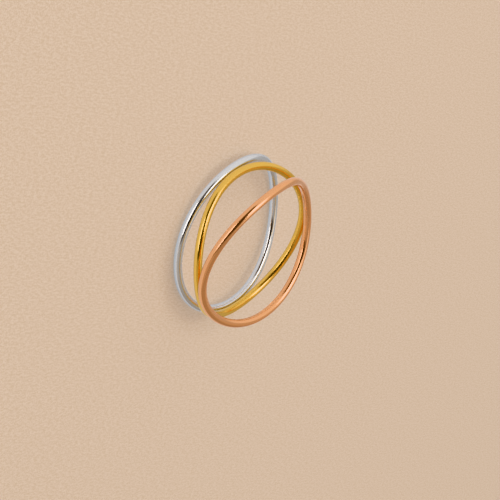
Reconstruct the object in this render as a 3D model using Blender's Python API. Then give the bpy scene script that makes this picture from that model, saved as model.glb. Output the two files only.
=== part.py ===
"""Layered ring: a white, a yellow and a rose gold band, each one closed loop of round wire.

The bands lie on top of each other, with the finger's axis along Z and the white band lowest.
Each band waves up and down twice round the finger. The yellow band's crests stand a quarter turn
from the other two bands' crests, so it meets the white band at two places and the rose band at the
two places between them. Metres, +Z up, origin under the middle of the ring on the surface it lies on.
"""

import math
from typing import NamedTuple

import bpy

MM = 0.001

# Driving dimensions, in millimetres
WIRE_DIAMETER = 1.0  # every band is drawn from the same round wire
TOUCHING_GAP = 0.03  # left where two bands meet

STATIONS = 96  # points round a band
FINE_STATIONS = 768  # points round a band when the next one is laid on it
WIRE_RESOLUTION = 4  # bevel steps, for a 12-sided wire

TWICE = 2
THRICE = 3


class Band(NamedTuple):
    """One band. Sizes are in millimetres and directions in degrees from +X, anticlockwise from above."""

    name: str
    radius: float  # the band's own middle to the middle of the wire
    oval: float  # how far the band is out of round
    oval_at: float
    shift: float  # the band's own middle towards +X, from the yellow band's
    lean: float  # rise of the side towards lean_at
    lean_at: float
    wave: float  # height of the two crests
    crest_at: float
    skew: float  # a slight third wave, which makes the two crests differ
    skew_at: float
    color: tuple
    roughness: float


WHITE = Band(
    name="white_band",
    radius=9.45,
    oval=0.15,
    oval_at=70,
    shift=0.40,
    lean=0.15,
    lean_at=35,
    wave=0.55,
    crest_at=80,
    skew=0.10,
    skew_at=55,
    color=(0.80, 0.79, 0.77, 1.0),
    roughness=0.07,
)
YELLOW = Band(
    name="yellow_band",
    radius=9.40,
    oval=0.10,
    oval_at=95,
    shift=0.0,
    lean=0.70,
    lean_at=0,
    wave=0.90,
    crest_at=-5,
    skew=0.0,
    skew_at=0,
    color=(0.85, 0.58, 0.16, 1.0),
    roughness=0.08,
)
ROSE = Band(
    name="rose_band",
    radius=9.40,
    oval=0.20,
    oval_at=125,
    shift=-0.45,
    lean=1.20,
    lean_at=52,
    wave=0.90,
    crest_at=90,
    skew=0.10,
    skew_at=-30,
    color=(0.84, 0.46, 0.28, 1.0),
    roughness=0.09,
)
STACK = (WHITE, YELLOW, ROSE)  # from the bottom up


def clear_scene():
    """Removes every object, so that only the ring is left."""
    for obj in list(bpy.data.objects):
        bpy.data.objects.remove(obj, do_unlink=True)


def ripple(angle, size, count, at):
    """A wave of this many crests round the band, the first one in the direction at."""
    return size * math.cos(count * (angle - math.radians(at)))


def wire_point(band, angle):
    """The middle of the wire in this direction, from the band's own middle."""
    radius = band.radius + ripple(angle, band.oval, TWICE, band.oval_at)
    height = (
        ripple(angle, band.lean, 1, band.lean_at)
        + ripple(angle, band.wave, TWICE, band.crest_at)
        + ripple(angle, band.skew, THRICE, band.skew_at)
    )
    return (radius * math.cos(angle), radius * math.sin(angle), height)


def wire_path(band, stations=STATIONS):
    """The wire's points, in order round the band."""
    step = math.tau / stations
    return [wire_point(band, station * step) for station in range(stations)]


def rise_onto(lower, upper):
    """How far the upper band's middle is over the lower band's, once their wires all but touch."""
    reach = WIRE_DIAMETER + TOUCHING_GAP
    offset = upper.shift - lower.shift
    rises = []
    for low_x, low_y, low_z in wire_path(lower, FINE_STATIONS):
        for high_x, high_y, high_z in wire_path(upper):
            across = math.hypot(high_x + offset - low_x, high_y - low_y)
            if across < reach:
                rises.append(low_z - high_z + math.sqrt(reach**2 - across**2))
    return max(rises)


def stack_heights():
    """The height of each band's own middle over the surface, from the bottom band up."""
    lowest = min(height for _, _, height in wire_path(STACK[0]))
    heights = [WIRE_DIAMETER / 2 - lowest]
    for lower, upper in zip(STACK, STACK[1:]):
        heights.append(heights[-1] + rise_onto(lower, upper))
    return heights


def box_middle():
    """The middle of the ring's outline from above, from the yellow band's own middle."""
    across = [x + band.shift for band in STACK for x, _, _ in wire_path(band)]
    along = [y for band in STACK for _, y, _ in wire_path(band)]
    return ((min(across) + max(across)) / 2, (min(along) + max(along)) / 2)


def polished_metal(band):
    """The band's own alloy, as a polished metal."""
    metal = bpy.data.materials.new(band.name + "_metal")
    metal.use_nodes = True
    shader = metal.node_tree.nodes["Principled BSDF"]
    shader.inputs["Base Color"].default_value = band.color
    shader.inputs["Metallic"].default_value = 1.0
    shader.inputs["Roughness"].default_value = band.roughness
    metal.diffuse_color = band.color
    return metal


def bend_band(band):
    """A closed loop of round wire about the band's own middle."""
    curve = bpy.data.curves.new(band.name, "CURVE")
    curve.dimensions = "3D"
    curve.bevel_depth = WIRE_DIAMETER / 2 * MM
    curve.bevel_resolution = WIRE_RESOLUTION
    path = wire_path(band)
    spline = curve.splines.new("POLY")
    spline.points.add(len(path) - 1)
    for point, place in zip(spline.points, path):
        point.co = (*(length * MM for length in place), 1.0)
    spline.use_cyclic_u = True
    spline.use_smooth = True
    curve.materials.append(polished_metal(band))
    return bpy.data.objects.new(band.name, curve)


def build_ring():
    """The three bands under one empty, which centres them over the origin."""
    middle_x, middle_y = box_middle()
    ring = bpy.data.objects.new("ring", None)
    ring.location = (-middle_x * MM, -middle_y * MM, 0)
    bpy.context.scene.collection.objects.link(ring)
    for band, height in zip(STACK, stack_heights()):
        loop = bend_band(band)
        loop.location = (band.shift * MM, 0, height * MM)
        loop.parent = ring
        bpy.context.scene.collection.objects.link(loop)


clear_scene()
build_ring()
bpy.context.view_layer.update()
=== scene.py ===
"""The layered ring's looks: three wavy bands of polished round wire on a pale floor in soft light.

Sizes are in millimetres until they go into a mesh, a material or a light. Directions are in degrees
from +X, anticlockwise from above, and heights in degrees over the floor. A pattern's scale is how many
times it goes into a metre, or into one unit of what it follows.
"""

import logging
import math
from dataclasses import dataclass, field
from enum import Enum

import bpy
import numpy as np
from mathutils import Matrix, Vector


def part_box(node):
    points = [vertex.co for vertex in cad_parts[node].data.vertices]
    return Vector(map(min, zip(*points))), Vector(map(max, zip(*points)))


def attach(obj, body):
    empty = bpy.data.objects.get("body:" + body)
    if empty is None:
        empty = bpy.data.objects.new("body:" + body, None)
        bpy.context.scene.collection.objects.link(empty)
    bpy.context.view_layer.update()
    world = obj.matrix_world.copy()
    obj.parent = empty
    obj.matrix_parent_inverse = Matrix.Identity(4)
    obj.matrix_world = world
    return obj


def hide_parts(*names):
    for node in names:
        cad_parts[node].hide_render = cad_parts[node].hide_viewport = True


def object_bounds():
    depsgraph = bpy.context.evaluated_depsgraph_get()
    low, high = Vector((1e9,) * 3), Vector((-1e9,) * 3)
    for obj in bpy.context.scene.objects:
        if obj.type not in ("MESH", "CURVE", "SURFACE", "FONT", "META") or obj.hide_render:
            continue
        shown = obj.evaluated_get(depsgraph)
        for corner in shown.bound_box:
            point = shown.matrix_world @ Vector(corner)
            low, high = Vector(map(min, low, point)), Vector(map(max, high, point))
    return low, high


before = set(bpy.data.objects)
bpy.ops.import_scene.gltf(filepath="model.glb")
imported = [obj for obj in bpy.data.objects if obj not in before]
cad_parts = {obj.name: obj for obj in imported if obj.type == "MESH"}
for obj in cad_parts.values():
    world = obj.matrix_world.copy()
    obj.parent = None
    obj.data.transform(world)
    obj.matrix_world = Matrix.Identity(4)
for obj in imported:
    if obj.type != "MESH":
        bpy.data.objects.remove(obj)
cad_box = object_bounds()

MM = 0.001
QUARTER_TURN = 90.0
NOISE_MIDDLE = 0.5
BODY = "root"
SIDE_ATTRIBUTE = "wire_side"
log = logging.getLogger("layered_ring")

Color = tuple[float, float, float]
Edges = tuple[float, float]


class Shade:
    """A number on a node's output. Arithmetic on it adds Math nodes to the same graph."""

    def __init__(self, graph: "Graph", socket: bpy.types.NodeSocket) -> None:
        """Wraps one output socket.

        Args:
            graph: The graph that holds the socket's node.
            socket: The output socket.
        """
        self.graph = graph
        self.socket = socket

    def _math(self, operation: str, *values: "Shade | float") -> "Shade":
        """Adds one Math node.

        Args:
            operation: The node's operation.
            values: What it works on, in order.

        Returns:
            The node's result.
        """
        made = self.graph.node("ShaderNodeMath", {"operation": operation}, dict(enumerate(values)))
        return self.graph.shade(made)

    def __add__(self, other: "Shade | float") -> "Shade":
        """self + other."""
        return self._math("ADD", self, other)

    def __sub__(self, other: "Shade | float") -> "Shade":
        """self - other."""
        return self._math("SUBTRACT", self, other)

    def __rsub__(self, other: float) -> "Shade":
        """other - self."""
        return self._math("SUBTRACT", other, self)

    def __mul__(self, other: "Shade | float") -> "Shade":
        """self * other."""
        return self._math("MULTIPLY", self, other)

    def __abs__(self) -> "Shade":
        """The number without its sign."""
        return self._math("ABSOLUTE", self)

    __radd__ = __add__
    __rmul__ = __mul__


class Graph:
    """The nodes of a material or a world, filled from nothing."""

    def __init__(self, owner: bpy.types.Material | bpy.types.World) -> None:
        """Turns the nodes on and takes out those that are there.

        Args:
            owner: The material or the world.
        """
        owner.use_nodes = True
        self.tree = owner.node_tree
        self.tree.nodes.clear()

    def node(
        self,
        kind: str,
        settings: dict[str, object] | None = None,
        sockets: dict[str | int, object] | None = None,
    ) -> bpy.types.Node:
        """Adds a node.

        Args:
            kind: The node's type.
            settings: Its own properties, which are set first.
            sockets: A value, a Shade or an output socket for each input, by name or place.

        Returns:
            The node.
        """
        made = self.tree.nodes.new(kind)
        for name, value in (settings or {}).items():
            setattr(made, name, value)
        for place, value in (sockets or {}).items():
            source = value.socket if isinstance(value, Shade) else value
            if isinstance(source, bpy.types.NodeSocket):
                self.tree.links.new(source, made.inputs[place])
            else:
                made.inputs[place].default_value = source
        return made

    def shade(self, made: bpy.types.Node, output: str | int = 0) -> Shade:
        """One output of a node, ready for arithmetic."""
        return Shade(self, made.outputs[output])

    def noise(self, place: bpy.types.NodeSocket, scale: float, detail: float = 2.0) -> Shade:
        """Makes soft random clouds.

        Args:
            place: What the clouds are laid over.
            scale: How many clouds go into one unit of it.
            detail: How many times finer clouds are laid over them.

        Returns:
            A value from 0 to 1.
        """
        made = self.node("ShaderNodeTexNoise", None, {"Vector": place, "Scale": scale, "Detail": detail})
        return self.shade(made)

    def ramp(self, value: Shade, low: float, high: float) -> Shade:
        """Turns a value smoothly from 0 at low to 1 at high.

        Args:
            value: What the ramp reads.
            low: Where it starts.
            high: Where it ends.

        Returns:
            A value from 0 to 1.
        """
        made = self.node(
            "ShaderNodeMapRange",
            {"interpolation_type": "SMOOTHSTEP"},
            {"Value": value, "From Min": low, "From Max": high},
        )
        return self.shade(made, "Result")

    def scaled(self, vector: bpy.types.NodeSocket, factor: float) -> bpy.types.NodeSocket:
        """A vector times a number."""
        made = self.node("ShaderNodeVectorMath", {"operation": "SCALE"}, {"Vector": vector, "Scale": factor})
        return made.outputs["Vector"]

    def along(self, vector: bpy.types.NodeSocket, axis: Vector) -> Shade:
        """How far a vector reaches along an axis."""
        made = self.node("ShaderNodeVectorMath", {"operation": "DOT_PRODUCT"}, {0: vector, 1: axis})
        return self.shade(made, "Value")

    def blend(self, share: Shade, first: Color, second: Color) -> bpy.types.NodeSocket:
        """Goes from one colour to another.

        Args:
            share: How much of the second colour there is.
            first: The colour where the share is 0.
            second: The colour where the share is 1.

        Returns:
            The blended colour.
        """
        made = self.node(
            "ShaderNodeMix",
            {"data_type": "RGBA"},
            {"Factor": share, "A": opaque(first), "B": opaque(second)},
        )
        return made.outputs["Result"]

    def glow(self, color: Color) -> bpy.types.NodeSocket:
        """An even light of one colour."""
        return self.node("ShaderNodeBackground", None, {"Color": opaque(color)}).outputs["Background"]

    def surface(self, height: Shade, sockets: dict[str, object]) -> None:
        """Ends a material in a Principled shader with a relief.

        Args:
            height: The relief, in metres.
            sockets: The shader's other values and links.
        """
        bump = self.node("ShaderNodeBump", None, {"Height": height, "Distance": 1.0})
        shader = self.node("ShaderNodeBsdfPrincipled", None, {**sockets, "Normal": bump.outputs["Normal"]})
        self.node("ShaderNodeOutputMaterial", None, {"Surface": shader.outputs["BSDF"]})


def opaque(color: Color) -> tuple[float, float, float, float]:
    """The colour with its alpha."""
    return (*color, 1.0)


def compass(direction: float, height: float) -> Vector:
    """A unit vector that points this way.

    Args:
        direction: Degrees from +X, anticlockwise from above.
        height: Degrees over the floor.

    Returns:
        The vector.
    """
    turn = math.radians(direction)
    rise = math.radians(height)
    return Vector((math.cos(turn) * math.cos(rise), math.sin(turn) * math.cos(rise), math.sin(rise)))


def add_object(name: str, data: bpy.types.ID) -> bpy.types.Object:
    """Puts a new object into the scene, at the origin.

    Args:
        name: The object's name.
        data: Its mesh, light or camera.

    Returns:
        The object.
    """
    made = bpy.data.objects.new(name, data)
    bpy.context.scene.collection.objects.link(made)
    return made


@dataclass(frozen=True)
class Polish:
    """A mirror-polished precious metal with the marks of a ring that has been handled.

    The haze is soft clouds a few millimetres across, where the polish is a little duller. The
    hairlines are thin lines along the wire, left by the polishing wheel. The ripple is the slight
    unevenness that polishing leaves. The edges say where in its noise a mark starts and is full.
    """

    name: str
    slot: str
    color: Color
    haze_color: Color
    edge_color: Color  # tints the reflections along the two edges of the wire
    roughness: float = 0.16
    haze: float = 0.03  # added to the roughness
    haze_share: float = 0.5  # how far the haze turns the colour into its own
    haze_scale: float = 450.0
    haze_detail: float = 3.0
    haze_edges: Edges = (0.40, 0.70)
    hairline: float = 0.10  # added to the roughness
    hairline_depth: float = 0.0002
    hairline_round_scale: float = 14.0
    hairline_along_scale: float = 260.0
    hairline_detail: float = 4.0
    hairline_edges: Edges = (0.004, 0.016)
    ripple_scale: float = 350.0
    ripple_depth: float = 0.002

    def coat(self) -> bpy.types.Material:
        """Makes the metal.

        Returns:
            The material.
        """
        metal = bpy.data.materials.new(self.name)
        graph = Graph(metal)
        place = graph.node("ShaderNodeTexCoord").outputs["Object"]
        haze = graph.ramp(graph.noise(place, self.haze_scale, self.haze_detail), *self.haze_edges)
        hairlines = self._hairlines(graph, place)
        ripple = graph.noise(place, self.ripple_scale)
        graph.surface(
            hairlines * (-self.hairline_depth * MM) + ripple * (self.ripple_depth * MM),
            {
                "Base Color": graph.blend(haze * self.haze_share, self.color, self.haze_color),
                "Metallic": 1.0,
                "Specular Tint": opaque(self.edge_color),
                "Roughness": self.roughness + haze * self.haze + hairlines * self.hairline,
            },
        )
        return metal

    def _hairlines(self, graph: Graph, place: bpy.types.NodeSocket) -> Shade:
        """Draws the hairlines along the wire.

        Their noise reads the wire's own side, which goes once round it, finely, and the place along
        it coarsely. A hairline is where the noise is very close to its middle value.

        Args:
            graph: The metal's nodes.
            place: The place on the ring.

        Returns:
            1 on a hairline and 0 beside it.
        """
        side = graph.node("ShaderNodeAttribute", {"attribute_name": SIDE_ATTRIBUTE}).outputs["Vector"]
        fine_side = graph.scaled(side, self.hairline_round_scale)
        along = graph.scaled(place, self.hairline_along_scale)
        both = graph.node("ShaderNodeVectorMath", {"operation": "ADD"}, {0: fine_side, 1: along})
        grain = graph.noise(both.outputs["Vector"], 1.0, self.hairline_detail)
        return 1.0 - graph.ramp(abs(grain - NOISE_MIDDLE), *self.hairline_edges)


class Alloy(Enum):
    """The three golds of the ring."""

    WHITE = Polish(
        "polished_white_gold",
        "white_gold",
        color=(0.76, 0.77, 0.79),
        haze_color=(0.71, 0.72, 0.74),
        edge_color=(0.74, 0.75, 0.77),
    )
    YELLOW = Polish(
        "polished_yellow_gold",
        "yellow_gold",
        color=(0.89, 0.565, 0.15),
        haze_color=(0.84, 0.54, 0.16),
        edge_color=(0.86, 0.85, 0.84),
    )
    ROSE = Polish(
        "polished_rose_gold",
        "rose_gold",
        color=(0.95, 0.495, 0.255),
        haze_color=(0.90, 0.475, 0.255),
        edge_color=(0.92, 0.92, 0.92),
    )


@dataclass
class Wave:
    """Something that rises and falls a whole number of times round the band."""

    count: int
    size: float
    crest_at: float = 0.0

    def at(self, angle: np.ndarray) -> np.ndarray:
        """The size times the cosine of the count times the angle from the crest."""
        return self.size * np.cos(self.count * (angle - math.radians(self.crest_at)))


@dataclass
class Wire:
    """A closed loop of round wire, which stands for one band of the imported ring."""

    node: str
    alloy: Alloy
    radius: float
    oval: Wave
    heights: tuple[Wave, ...]
    thickness: float = 1.0
    stations: int = 640
    sides: int = 40

    def middle(self) -> np.ndarray:
        """The line through the middle of the wire.

        Its distance from the finger's axis is the radius plus the oval, and its height is the sum
        of the waves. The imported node's box then says where the loop stands.

        Returns:
            The points, one row for each station, in metres.
        """
        angle = np.linspace(0.0, math.tau, self.stations, endpoint=False)
        reach = self.radius + self.oval.at(angle)
        height = sum(wave.at(angle) for wave in self.heights)
        line = np.stack((reach * np.cos(angle), reach * np.sin(angle), height), axis=1) * MM
        low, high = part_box(self.node)
        place = (np.array(low) + np.array(high) - line.min(axis=0) - line.max(axis=0)) / 2
        place[2] = low.z + self.thickness / 2 * MM - line[:, 2].min()
        return line + place

    def surface(self) -> tuple[np.ndarray, np.ndarray]:
        """The skin of the wire over two parameters, the station and the side.

        At each station the wire's outward way is the way from the loop's middle, made square to the
        wire's run, and its upward way is square to both. A point is the middle plus half the
        thickness times the cosine of the side outward and the sine of the side upward.

        Returns:
            The points and each point's cosine and sine, both as (station, side, 3) arrays.
        """
        line = self.middle()
        run = unit(np.roll(line, -1, axis=0) - np.roll(line, 1, axis=0))
        outward = line - line.mean(axis=0)
        outward[:, 2] = 0.0
        outward = unit(outward - np.sum(outward * run, axis=1, keepdims=True) * run)
        upward = np.cross(outward, run)
        side = np.linspace(0.0, math.tau, self.sides, endpoint=False)
        cosine, sine = np.cos(side)[None, :, None], np.sin(side)[None, :, None]
        half = self.thickness / 2 * MM
        points = line[:, None] + half * (cosine * outward[:, None] + sine * upward[:, None])
        flat = np.zeros_like(points)
        flat[:, :, 0], flat[:, :, 1] = cosine[:, :, 0], sine[:, :, 0]
        return points, flat

    def build(self) -> bpy.types.Object:
        """Makes the band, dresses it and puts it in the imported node's place.

        Returns:
            The band.
        """
        points, sides = self.surface()
        mesh = closed_grid(self.node + "_wire", points)
        attribute = mesh.attributes.new(SIDE_ATTRIBUTE, "FLOAT_VECTOR", "POINT")
        attribute.data.foreach_set("vector", sides.astype(np.float32).ravel())
        mesh.materials.append(self.alloy.value.coat())
        band = add_object(mesh.name, mesh)
        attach(band, BODY)
        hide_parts(self.node)
        return band


@dataclass
class LayeredRing:
    """The white, the yellow and the rose band, from the floor up."""

    bands: tuple[Wire, ...] = (
        Wire(
            "white_band",
            Alloy.WHITE,
            radius=9.45,
            oval=Wave(2, 0.15, 70),
            heights=(Wave(1, 0.15, 35), Wave(2, 0.55, 80), Wave(3, 0.10, 55)),
        ),
        Wire(
            "yellow_band",
            Alloy.YELLOW,
            radius=9.40,
            oval=Wave(2, 0.10, 95),
            heights=(Wave(1, 0.70), Wave(2, 0.90, -5)),
        ),
        Wire(
            "rose_band",
            Alloy.ROSE,
            radius=9.40,
            oval=Wave(2, 0.20, 125),
            heights=(Wave(1, 1.20, 52), Wave(2, 0.90, 90), Wave(3, 0.10, -30)),
        ),
    )

    def build(self) -> list[bpy.types.Object]:
        """Builds every band.

        Returns:
            The bands, from the floor up.
        """
        return [band.build() for band in self.bands]


def unit(vectors: np.ndarray) -> np.ndarray:
    """Each row divided by its own length."""
    return vectors / np.linalg.norm(vectors, axis=1, keepdims=True)


def closed_grid(name: str, points: np.ndarray) -> bpy.types.Mesh:
    """A smooth mesh from a grid of points that closes on itself both ways.

    Args:
        name: The mesh's name.
        points: The points as a (station, side, 3) array.

    Returns:
        The mesh, with a UV map that runs once along and once round.
    """
    stations, sides, _ = points.shape
    station, side = np.meshgrid(np.arange(stations), np.arange(sides), indexing="ij")
    steps = np.array(((0, 0), (1, 0), (1, 1), (0, 1)))
    along = station[:, :, None] + steps[:, 0]
    round_it = side[:, :, None] + steps[:, 1]
    faces = (along % stations) * sides + round_it % sides
    mesh = bpy.data.meshes.new(name)
    mesh.vertices.add(stations * sides)
    mesh.vertices.foreach_set("co", points.astype(np.float32).ravel())
    mesh.loops.add(faces.size)
    mesh.loops.foreach_set("vertex_index", faces.astype(np.int32).ravel())
    mesh.polygons.add(stations * sides)
    mesh.polygons.foreach_set("loop_start", np.arange(0, faces.size, 4, dtype=np.int32))
    places = np.stack((along / stations, round_it / sides), axis=-1)
    mesh.uv_layers.new(name="UVMap").data.foreach_set("uv", places.astype(np.float32).ravel())
    mesh.update(calc_edges=True)
    mesh.validate()
    mesh.shade_smooth()
    return mesh


@dataclass(frozen=True)
class Paper:
    """Pale laid paper, which glows a little and so softens the shadows on it.

    Its relief is long fibres in one direction and a fine grain, each with its share, and the paper
    has the fibres' colour where it stands high. The edges say where that colour starts and is full.
    """

    name: str = "pale_paper"
    color: Color = (0.47, 0.375, 0.30)
    fibre_color: Color = (0.37, 0.26, 0.155)
    glow_color: Color = (0.325, 0.261, 0.21)
    roughness: float = 0.6
    relief: float = 0.01
    fibre_direction: float = -38.0
    fibre_length: float = 0.60
    fibre_width: float = 0.22
    fibre_share: float = 0.4
    fibre_edges: Edges = (0.40, 0.60)
    grain_scale: float = 6000.0
    grain_detail: float = 3.0
    grain_share: float = 0.6

    def coat(self) -> bpy.types.Material:
        """Makes the paper.

        Returns:
            The material.
        """
        paper = bpy.data.materials.new(self.name)
        graph = Graph(paper)
        place = graph.node("ShaderNodeTexCoord").outputs["Object"]
        laid = graph.node(
            "ShaderNodeMapping",
            {"vector_type": "TEXTURE"},
            {
                "Vector": place,
                "Rotation": (0.0, 0.0, math.radians(self.fibre_direction)),
                "Scale": (self.fibre_length * MM, self.fibre_width * MM, self.fibre_width * MM),
            },
        )
        fibres = graph.noise(laid.outputs["Vector"], 1.0)
        grain = graph.noise(place, self.grain_scale, self.grain_detail)
        height = fibres * self.fibre_share + grain * self.grain_share
        graph.surface(
            height * (self.relief * MM),
            {
                "Base Color": graph.blend(
                    graph.ramp(height, *self.fibre_edges), self.color, self.fibre_color
                ),
                "Roughness": self.roughness,
                "Emission Color": opaque(self.glow_color),
                "Emission Strength": 1.0,
            },
        )
        return paper


@dataclass
class Floor:
    """The sheet of paper that the ring lies on."""

    half_side: float = 600.0
    paper: Paper = Paper()

    def build(self) -> bpy.types.Object:
        """Lays the floor under the ring.

        Returns:
            The floor.
        """
        reach = self.half_side * MM
        rim = [(-reach, -reach, 0.0), (reach, -reach, 0.0), (reach, reach, 0.0), (-reach, reach, 0.0)]
        mesh = bpy.data.meshes.new("floor")
        mesh.from_pydata(rim, [], [(0, 1, 2, 3)])
        mesh.materials.append(self.paper.coat())
        floor = add_object("floor", mesh)
        return floor


@dataclass
class Softbox:
    """A flat, evenly bright light that faces the ring's middle. The camera doesn't see it."""

    name: str
    direction: float
    height: float
    distance: float
    width: float
    depth: float
    brightness: float
    color: Color = (1.0, 0.97, 0.93)

    def build(self, middle: Vector) -> bpy.types.Object:
        """Hangs the light.

        The power is the brightness times pi times the light's area.

        Args:
            middle: The ring's middle.

        Returns:
            The light.
        """
        light = bpy.data.lights.new(self.name, "AREA")
        light.shape = "RECTANGLE"
        light.size = self.width * MM
        light.size_y = self.depth * MM
        light.energy = self.brightness * math.pi * light.size * light.size_y
        light.color = self.color
        hung = add_object(self.name, light)
        away = compass(self.direction, self.height)
        hung.location = middle + away * self.distance * MM
        hung.rotation_euler = away.to_track_quat("Z", "Y").to_euler()
        hung.visible_camera = False
        return hung


@dataclass(frozen=True)
class Zone:
    """A part of the room with its own evenly lit tone.

    It reaches half_width to both sides of its direction and half_height over and under its height,
    with its outline blurred over the fade.
    """

    name: str
    color: Color
    direction: float
    half_width: float
    height: float
    half_height: float
    fade: float

    def mask(self, graph: Graph) -> Shade:
        """Finds how much of a way's light comes from this zone.

        Seen along the zone's direction, a way is so many degrees to the side and so many degrees
        up. The mask is 1 inside both half sizes and falls to 0 over the fade.

        Args:
            graph: The world's nodes.

        Returns:
            A value from 0 to 1.
        """
        way = graph.node("ShaderNodeTexCoord").outputs["Generated"]
        ahead = graph.along(way, compass(self.direction, 0.0))
        aside = graph.along(way, compass(self.direction + QUARTER_TURN, 0.0))
        above = graph.along(way, compass(0.0, QUARTER_TURN))
        turn = graph.node("ShaderNodeMath", {"operation": "ARCTAN2"}, {0: aside, 1: ahead})
        rise = graph.node("ShaderNodeMath", {"operation": "ARCSINE"}, {0: above})
        lift = graph.shade(rise) - math.radians(self.height)
        beside = self._within(graph, graph.shade(turn), self.half_width)
        return beside * self._within(graph, lift, self.half_height)

    def _within(self, graph: Graph, angle: Shade, half: float) -> Shade:
        """Finds whether an angle is close enough to 0.

        Args:
            graph: The world's nodes.
            angle: The angle, in radians.
            half: How far from 0 it may be, in degrees.

        Returns:
            1 inside and 0 outside, with the fade between them.
        """
        edges = (math.radians(half - self.fade / 2), math.radians(half + self.fade / 2))
        return 1.0 - graph.ramp(abs(angle), *edges)


@dataclass
class Room:
    """The studio round the ring: walls of different tones, a pale ceiling and two dark screens.

    A later zone covers an earlier one. The screens stand on the camera's side of the ring, and their
    reflections are the dark lines along the wires.
    """

    wall: Color = (0.60, 0.52, 0.44)
    zones: tuple[Zone, ...] = (
        Zone(
            "right_wall", (0.46, 0.40, 0.34), direction=254.0, half_width=34.0,
            height=22.0, half_height=36.0, fade=16.0,
        ),
        Zone(
            "far_wall", (0.60, 0.57, 0.54), direction=334.0, half_width=28.0,
            height=-20.0, half_height=66.0, fade=12.0,
        ),
        Zone(
            "left_wall", (0.90, 0.87, 0.84), direction=50.0, half_width=60.0,
            height=0.0, half_height=60.0, fade=14.0,
        ),
        Zone(
            "ceiling", (1.26, 1.21, 1.16), direction=0.0, half_width=180.0,
            height=90.0, half_height=25.0, fade=14.0,
        ),
        Zone(
            "right_slope", (0.46, 0.41, 0.36), direction=200.0, half_width=50.0,
            height=60.0, half_height=26.0, fade=12.0,
        ),
        Zone(
            "left_screen", (0.12, 0.09, 0.06), direction=104.0, half_width=20.0,
            height=26.0, half_height=20.0, fade=8.0,
        ),
        Zone(
            "main_screen", (0.06, 0.045, 0.035), direction=142.0, half_width=32.0,
            height=40.0, half_height=31.0, fade=6.0,
        ),
    )

    def build(self) -> bpy.types.World:
        """Makes the world.

        Returns:
            The world.
        """
        world = bpy.data.worlds.new("studio")
        graph = Graph(world)
        light = graph.glow(self.wall)
        for zone in self.zones:
            sockets = {0: zone.mask(graph), 1: light, 2: graph.glow(zone.color)}
            light = graph.node("ShaderNodeMixShader", {"label": zone.name}, sockets).outputs["Shader"]
        graph.node("ShaderNodeOutputWorld", None, {"Surface": light})
        bpy.context.scene.world = world
        return world


@dataclass
class Eye:
    """The camera, turned on its own axis so that the lying ring stands in the picture.

    Azimuth 0 looks along +Y, and the aim is measured from the ring's middle.
    """

    azimuth: float = 219.80
    height: float = 29.69
    roll: float = 113.12
    distance: float = 199.5
    lens: float = 122.4
    aim: tuple[float, float, float] = (-0.45, -0.43, 0.07)
    nearest: float = 10.0
    farthest: float = 10_000.0

    def build(self, middle: Vector) -> bpy.types.Object:
        """Places the camera.

        Args:
            middle: The ring's middle.

        Returns:
            The camera.
        """
        lens = bpy.data.cameras.new("camera")
        lens.lens = self.lens
        lens.clip_start = self.nearest * MM
        lens.clip_end = self.farthest * MM
        camera = add_object("camera", lens)
        back = compass(self.azimuth - QUARTER_TURN, self.height)
        level = back.to_track_quat("Z", "Y").to_matrix()
        turn = level @ Matrix.Rotation(math.radians(self.roll), 3, "Z")
        spot = middle + Vector(self.aim) * MM + back * self.distance * MM
        camera.matrix_world = Matrix.Translation(spot) @ turn.to_4x4()
        bpy.context.scene.camera = camera
        return camera


@dataclass
class Studio:
    """The floor, the room, the camera and the lights.

    The two softboxes draw the highlights along the wires. The floor fill lies just over the floor
    and faces up, and takes the paper's tint out of the lower sides of the bands.
    """

    floor: Floor = field(default_factory=Floor)
    room: Room = field(default_factory=Room)
    eye: Eye = field(default_factory=Eye)
    lights: tuple[Softbox, ...] = (
        Softbox(
            "overhead_softbox", direction=72.0, height=70.0, distance=350.0,
            width=175.0, depth=175.0, brightness=4.1,
        ),
        Softbox(
            "low_softbox", direction=140.0, height=4.5, distance=300.0,
            width=210.0, depth=56.0, brightness=4.6,
        ),
        Softbox(
            "floor_fill", direction=0.0, height=-90.0, distance=4.35,
            width=400.0, depth=400.0, brightness=0.37, color=(0.30, 0.68, 1.0),
        ),
    )
    view_transform: str = "Khronos PBR Neutral"

    def build(self, middle: Vector) -> None:
        """Sets up everything round the ring.

        Args:
            middle: The ring's middle.
        """
        self.floor.build()
        self.room.build()
        self.eye.build(middle)
        for light in self.lights:
            light.build(middle)
        bpy.context.scene.view_settings.view_transform = self.view_transform


def main() -> None:
    """Builds the ring and its studio, and logs how many faces each band has."""
    logging.basicConfig(level=logging.INFO, format="%(name)s: %(message)s")
    for band in LayeredRing().build():
        log.info("%s has %d faces", band.name, len(band.data.polygons))
    low, high = cad_box
    Studio().build((low + high) / 2)
    log.info("studio ready")


if __name__ == "__main__":
    main()
